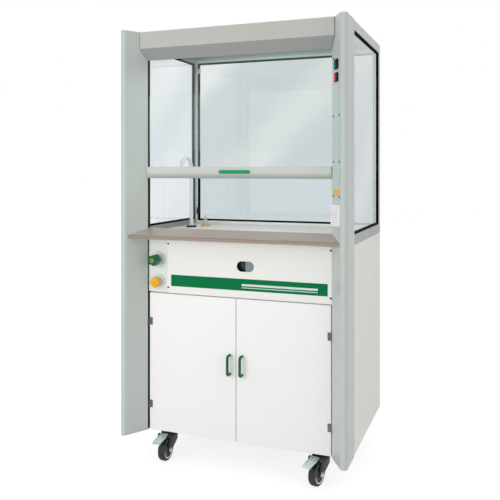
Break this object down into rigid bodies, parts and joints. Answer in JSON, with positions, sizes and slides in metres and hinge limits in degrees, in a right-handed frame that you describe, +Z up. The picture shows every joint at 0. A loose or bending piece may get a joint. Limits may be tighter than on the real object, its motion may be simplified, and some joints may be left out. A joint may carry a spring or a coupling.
{
  "type": "mobile fume hood",
  "caption": "Mobile laboratory fume hood with glazed chamber, sliding sash, service panel, cabinet doors and braked casters.",
  "frame": {"origin": "on the floor under the middle of the hood's bounding box", "axes": "+Z up, +X to the right as seen from the sash side, +Y towards the rear window"},
  "size_m": [1, 0.772, 1.906],
  "materials": {
    "frame_paint": "satin",
    "band_paint": "satin",
    "door_laminate": "satin",
    "carcass_laminate": "satin",
    "panel_paint": "satin",
    "sill_steel": "satin",
    "floor_resin": "matte",
    "gasket_rubber": "matte",
    "clear_glass": "polished",
    "guide_plastic": "matte",
    "rail_aluminium": "satin",
    "green_plastic": "satin",
    "yellow_plastic": "satin",
    "red_plastic": "satin",
    "black_plastic": "satin",
    "white_plastic": "satin",
    "outlet_coating": "satin",
    "zinc": "satin",
    "steel": "satin",
    "caster_nylon": "satin",
    "wheel_rubber": "satin",
    "filter_card": "matte"
  },
  "bodies": {
    "hood": {"left_pilaster": "frame_paint", "right_pilaster": "frame_paint", "header_fascia": "frame_paint", "roof_panel": "frame_paint", "control_cover_plate": "frame_paint", "left_window_frame": "band_paint", "right_window_frame": "band_paint", "rear_window_frame": "band_paint", "base_cabinet": "carcass_laminate", "back_panel": "carcass_laminate", "knob_strip": "panel_paint", "service_panel": "panel_paint", "sill": "sill_steel", "work_floor": "floor_resin", "drip_cup": "floor_resin", "left_window_gasket": "gasket_rubber", "right_window_gasket": "gasket_rubber", "rear_window_gasket": "gasket_rubber", "left_pane": "clear_glass", "right_pane": "clear_glass", "rear_pane": "clear_glass", "upper_front_pane": "clear_glass", "left_sash_guide": "guide_plastic", "right_sash_guide": "guide_plastic", "knob_discs": "green_plastic", "blank_tile": "yellow_plastic", "switch_bezels": "black_plastic", "outlet_flanges": "black_plastic", "airflow_indicator": "black_plastic", "socket_outlet": "white_plastic", "lamp_unit": "white_plastic", "water_outlet": "outlet_coating", "gas_nozzle": "outlet_coating", "panel_screws": "zinc", "door_hinges": "steel", "fan_unit": "steel", "carbon_filter": "filter_card"},
    "sash": {"sash_glass": "clear_glass", "sash_rail": "rail_aluminium", "sash_handle": "green_plastic"},
    "counterweight": {"sash_counterweight": "steel"},
    "left_door_body": {"left_door": "door_laminate", "left_door_handle": "green_plastic"},
    "right_door_body": {"right_door": "door_laminate", "right_door_handle": "green_plastic"},
    "water_knob_body": {"water_knob": "green_plastic"},
    "gas_knob_body": {"gas_knob": "yellow_plastic"},
    "green_rocker_body": {"green_rocker": "green_plastic"},
    "red_rocker_body": {"red_rocker": "red_plastic"},
    "socket_rocker_body": {"socket_rocker": "white_plastic"},
    "front_left_caster": {"front_left_fork": "caster_nylon"},
    "front_left_wheel_body": {"front_left_wheel": "wheel_rubber"},
    "front_left_pedal": {"front_left_brake_pedal": "zinc"},
    "front_right_caster": {"front_right_fork": "caster_nylon"},
    "front_right_wheel_body": {"front_right_wheel": "wheel_rubber"},
    "front_right_pedal": {"front_right_brake_pedal": "zinc"},
    "rear_left_caster": {"rear_left_fork": "caster_nylon"},
    "rear_left_wheel_body": {"rear_left_wheel": "wheel_rubber"},
    "rear_right_caster": {"rear_right_fork": "caster_nylon"},
    "rear_right_wheel_body": {"rear_right_wheel": "wheel_rubber"}
  },
  "joints": [
    {"name": "sash_slide", "type": "slide", "parent": "hood", "child": "sash", "axis": [0, 0, 1], "range_m": [-0.219, 0.24]},
    {"name": "counterweight_slide", "type": "slide", "parent": "hood", "child": "counterweight", "axis": [0, 0, 1], "range_m": [-0.24, 0.219]},
    {"name": "left_door_hinge", "type": "hinge", "parent": "hood", "child": "left_door_body", "pos_m": [-0.41575, -0.27723, 0.45], "axis": [0, 0, -1], "range_deg": [0, 110]},
    {"name": "right_door_hinge", "type": "hinge", "parent": "hood", "child": "right_door_body", "pos_m": [0.41575, -0.27723, 0.45], "axis": [0, 0, 1], "range_deg": [0, 110]},
    {"name": "water_knob_turn", "type": "hinge", "parent": "hood", "child": "water_knob_body", "pos_m": [-0.371, -0.27503, 0.9026], "axis": [0, -1, 0], "range_deg": [0, 270]},
    {"name": "gas_knob_turn", "type": "hinge", "parent": "hood", "child": "gas_knob_body", "pos_m": [-0.371, -0.27503, 0.804], "axis": [0, -1, 0], "range_deg": [0, 90]},
    {"name": "green_rocker_tilt", "type": "hinge", "parent": "hood", "child": "green_rocker_body", "pos_m": [0.45382, -0.34531, 1.712], "axis": [0, 0, 1], "range_deg": [-14, 0]},
    {"name": "red_rocker_tilt", "type": "hinge", "parent": "hood", "child": "red_rocker_body", "pos_m": [0.45382, -0.34531, 1.661], "axis": [0, 0, 1], "range_deg": [-14, 0]},
    {"name": "socket_rocker_tilt", "type": "hinge", "parent": "hood", "child": "socket_rocker_body", "pos_m": [0.4563, -0.36822, 1.134], "axis": [0.5075, -0.8616, 0], "range_deg": [0, 9]},
    {"name": "front_left_swivel", "type": "hinge", "parent": "hood", "child": "front_left_caster", "pos_m": [-0.352, -0.20003, 0.12], "axis": [0, 0, 1], "continuous": true},
    {"name": "front_left_roll", "type": "hinge", "parent": "front_left_caster", "child": "front_left_wheel_body", "pos_m": [-0.352, -0.24003, 0.05], "axis": [1, 0, 0], "continuous": true},
    {"name": "front_left_brake", "type": "hinge", "parent": "front_left_caster", "child": "front_left_pedal", "pos_m": [-0.352, -0.24403, 0.111], "axis": [1, 0, 0], "range_deg": [0, 10]},
    {"name": "front_right_swivel", "type": "hinge", "parent": "hood", "child": "front_right_caster", "pos_m": [0.352, -0.20003, 0.12], "axis": [0, 0, 1], "continuous": true},
    {"name": "front_right_roll", "type": "hinge", "parent": "front_right_caster", "child": "front_right_wheel_body", "pos_m": [0.343, -0.239, 0.05], "axis": [0.9744, -0.225, 0], "continuous": true},
    {"name": "front_right_brake", "type": "hinge", "parent": "front_right_caster", "child": "front_right_pedal", "pos_m": [0.3421, -0.2429, 0.111], "axis": [0.9744, -0.225, 0], "range_deg": [0, 10]},
    {"name": "rear_left_swivel", "type": "hinge", "parent": "hood", "child": "rear_left_caster", "pos_m": [-0.352, 0.286, 0.12], "axis": [0, 0, 1], "continuous": true},
    {"name": "rear_left_roll", "type": "hinge", "parent": "rear_left_caster", "child": "rear_left_wheel_body", "pos_m": [-0.352, 0.246, 0.05], "axis": [1, 0, 0], "continuous": true},
    {"name": "rear_right_swivel", "type": "hinge", "parent": "hood", "child": "rear_right_caster", "pos_m": [0.352, 0.286, 0.12], "axis": [0, 0, 1], "continuous": true},
    {"name": "rear_right_roll", "type": "hinge", "parent": "rear_right_caster", "child": "rear_right_wheel_body", "pos_m": [0.352, 0.246, 0.05], "axis": [1, 0, 0], "continuous": true}
  ],
  "couplings": [
    {"joint": "counterweight_slide", "follows": "sash_slide", "ratio": -1}
  ]
}
